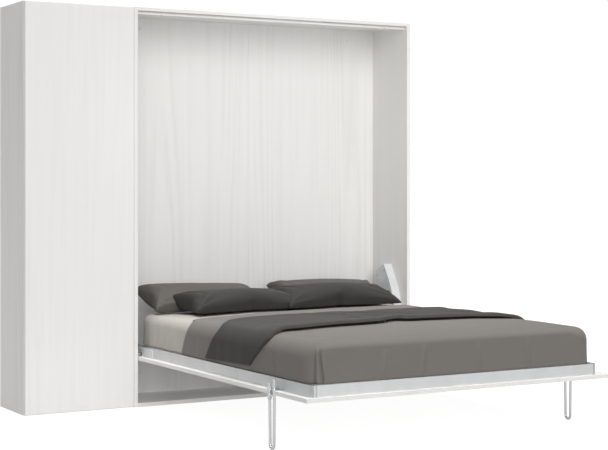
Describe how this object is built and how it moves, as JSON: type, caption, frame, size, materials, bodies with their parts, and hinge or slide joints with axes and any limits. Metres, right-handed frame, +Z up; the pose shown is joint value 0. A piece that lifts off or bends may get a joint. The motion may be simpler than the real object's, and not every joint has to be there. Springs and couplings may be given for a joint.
{
  "type": "murphy wall bed",
  "caption": "Wall cabinet with a side cupboard column and a double bed that folds down on a front panel, aluminium frame, chrome legs and bedding.",
  "frame": {"origin": "bottom centre of the whole box with the bed open, on the floor", "axes": "+X to the right as seen from the foot of the bed, +Y into the wall, +Z up"},
  "size_m": [2.433, 2.243, 2.19],
  "materials": {
    "white_ash": "matt embossed ash grain on melamine board",
    "anodised_aluminium": "satin anodised",
    "bright_chrome": "polished",
    "grey_steel": "satin powder coat",
    "zinc_steel": "zinc plated",
    "black_enamel": "gloss enamel",
    "birch": "clear lacquered laminate",
    "black_plastic": "moulded",
    "soft_rubber": "soft pad",
    "mattress_ticking": "knitted ticking",
    "beige_cotton": "plain woven cotton",
    "grey_cotton": "plain woven cotton",
    "charcoal_cotton": "plain woven cotton",
    "taupe_cotton": "plain woven cotton"
  },
  "bodies": {
    "cabinet": {"cabinet_back_left": "white_ash", "cabinet_back_right": "white_ash", "cabinet_bottom": "white_ash", "cabinet_side_left": "white_ash", "cabinet_side_right": "white_ash", "cabinet_top": "white_ash", "column_back": "white_ash", "column_bottom": "white_ash", "column_shelves": "white_ash", "column_side_left": "white_ash", "column_side_right": "white_ash", "column_top": "white_ash", "door_buffers": "soft_rubber", "door_pivot_brackets": "zinc_steel", "hanging_rail": "bright_chrome", "joining_bolts": "zinc_steel", "mechanism_bolts": "zinc_steel", "mechanism_housing_right": "grey_steel", "mechanism_plate_left": "grey_steel", "mechanism_plate_right": "grey_steel", "pivot_pins": "zinc_steel", "rail_sockets": "bright_chrome", "shelf_pins": "zinc_steel", "spring_pins": "zinc_steel", "stop_rail": "white_ash", "wall_strips": "zinc_steel"},
    "door": {"column_door": "white_ash", "door_pivot_pins": "zinc_steel"},
    "bed": {"front_panel_left": "white_ash", "front_panel_right": "white_ash", "side_rail_left": "anodised_aluminium", "side_rail_right": "anodised_aluminium", "foot_rail": "anodised_aluminium", "head_rail": "anodised_aluminium", "frame_corners": "anodised_aluminium", "centre_beam": "anodised_aluminium", "slats_left": "birch", "slats_right": "birch", "slat_holders": "black_plastic", "lever_plate_left": "grey_steel", "lever_plate_right": "grey_steel", "pivot_bushes": "black_plastic", "leg_bracket_left": "bright_chrome", "leg_bracket_right": "bright_chrome", "leg_pins": "zinc_steel", "mattress": "mattress_ticking", "fitted_sheet": "beige_cotton", "duvet": "grey_cotton", "blanket_band": "charcoal_cotton", "pillow_back_left": "taupe_cotton", "pillow_back_right": "taupe_cotton", "pillow_front_left": "charcoal_cotton", "pillow_front_right": "charcoal_cotton"},
    "leg_left": {"leg_left": "bright_chrome"},
    "leg_right": {"leg_right": "bright_chrome"},
    "spring_cylinder_left": {"gas_cylinder_left": "black_enamel"},
    "spring_cylinder_right": {"gas_cylinder_right": "black_enamel"},
    "spring_rod_left": {"gas_rod_left": "bright_chrome"},
    "spring_rod_right": {"gas_rod_right": "bright_chrome"}
  },
  "joints": [
    {"name": "bed_fold", "type": "hinge", "parent": "cabinet", "child": "bed", "pos_m": [0, 0.7485, 0.287], "axis": [-1, 0, 0], "range_deg": [0, 90]},
    {"name": "door_swing", "type": "hinge", "parent": "cabinet", "child": "door", "pos_m": [-1.2095, 0.7255, 0], "axis": [0, 0, -1], "range_deg": [0, 100]},
    {"name": "leg_left_fold", "type": "hinge", "parent": "bed", "child": "leg_left", "pos_m": [-0.563, -0.7705, 0.236], "axis": [1, 0, 0], "range_deg": [0, 90]},
    {"name": "leg_right_fold", "type": "hinge", "parent": "bed", "child": "leg_right", "pos_m": [1.185, -0.7705, 0.236], "axis": [1, 0, 0], "range_deg": [0, 90]},
    {"name": "spring_tilt_left", "type": "hinge", "parent": "cabinet", "child": "spring_cylinder_left", "pos_m": [-0.5535, 0.8275, 0.56], "axis": [-1, 0, 0], "range_deg": [0, 21]},
    {"name": "spring_stroke_left", "type": "slide", "parent": "spring_cylinder_left", "child": "spring_rod_left", "axis": [0, 0.2435, -0.9699], "range_m": [0, 0.1655]},
    {"name": "spring_tilt_right", "type": "hinge", "parent": "cabinet", "child": "spring_cylinder_right", "pos_m": [1.1255, 0.8275, 0.56], "axis": [-1, 0, 0], "range_deg": [0, 21]},
    {"name": "spring_stroke_right", "type": "slide", "parent": "spring_cylinder_right", "child": "spring_rod_right", "axis": [0, 0.2435, -0.9699], "range_m": [0, 0.1655]}
  ],
  "couplings": [
    {"joint": "spring_tilt_left", "follows": "bed_fold", "ratio": 0.23175},
    {"joint": "spring_stroke_left", "follows": "bed_fold", "m_per_rad": 0.10527},
    {"joint": "spring_tilt_right", "follows": "bed_fold", "ratio": 0.23175},
    {"joint": "spring_stroke_right", "follows": "bed_fold", "m_per_rad": 0.10527}
  ]
}
